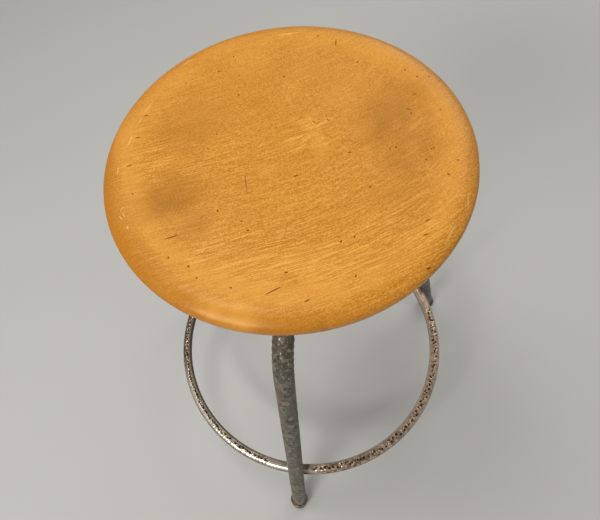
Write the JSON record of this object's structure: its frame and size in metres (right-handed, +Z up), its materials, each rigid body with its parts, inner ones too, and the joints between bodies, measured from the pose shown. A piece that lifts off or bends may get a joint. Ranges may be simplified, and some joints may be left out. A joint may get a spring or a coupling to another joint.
{
  "type": "machinist stool",
  "caption": "Round dished wooden seat on a threaded spindle, raised by turning it in a hub on splayed bent tube legs that are tied by a welded foot ring",
  "frame": {"origin": "On the floor, at the centre of the base of the bounding box. The axis of the seat, spindle, hub and foot ring stands 23.9 mm from it towards +Y.", "axes": "+Z is up, along the spindle. One leg, the front one, points to -Y; the other two point 30 degrees behind +X and behind -X."},
  "size_m": [0.489, 0.5123, 0.6563],
  "materials": {
    "lacquered_beech": "worn amber lacquer with dents and scratches",
    "painted_steel": "aged dark grey paint, rubbed through in spots",
    "worn_steel": "grey-beige paint, worn to brown steel between the legs",
    "spindle_steel": "oiled machined steel",
    "bright_steel": "dulled plain steel",
    "weld_metal": "rusty weld bead under thin paint",
    "bush_brass": "dull turned brass",
    "cap_iron": "dark iron with a rubbed rim"
  },
  "bodies": {
    "frame": {"hub": "painted_steel", "threaded_bush": "bush_brass", "foot_ring": "worn_steel", "leg_front": "painted_steel", "leg_rear_right": "painted_steel", "leg_rear_left": "painted_steel", "leg_weld_front": "weld_metal", "leg_weld_rear_right": "weld_metal", "leg_weld_rear_left": "weld_metal", "ring_weld_front": "weld_metal", "ring_weld_rear_right": "weld_metal", "ring_weld_rear_left": "weld_metal", "foot_cap_front": "cap_iron", "foot_cap_rear_right": "cap_iron", "foot_cap_rear_left": "cap_iron"},
    "lift": {"stop_washer": "bright_steel"},
    "seat": {"seat": "lacquered_beech", "seat_plate": "painted_steel", "seat_screws": "bright_steel", "spindle": "spindle_steel", "spindle_weld": "weld_metal", "stop_nut": "bright_steel", "split_pin": "bright_steel"}
  },
  "joints": [
    {"name": "seat_lift", "type": "slide", "parent": "frame", "child": "lift", "axis": [0, 0, 1], "range_m": [-0.05, 0.12]},
    {"name": "seat_turn", "type": "hinge", "parent": "lift", "child": "seat", "pos_m": [0, 0.02392, 0.5], "axis": [0, 0, 1], "range_deg": [-2250, 5400]}
  ],
  "couplings": [
    {"joint": "seat_lift", "follows": "seat_turn", "m_per_rad": 0.0012732}
  ]
}
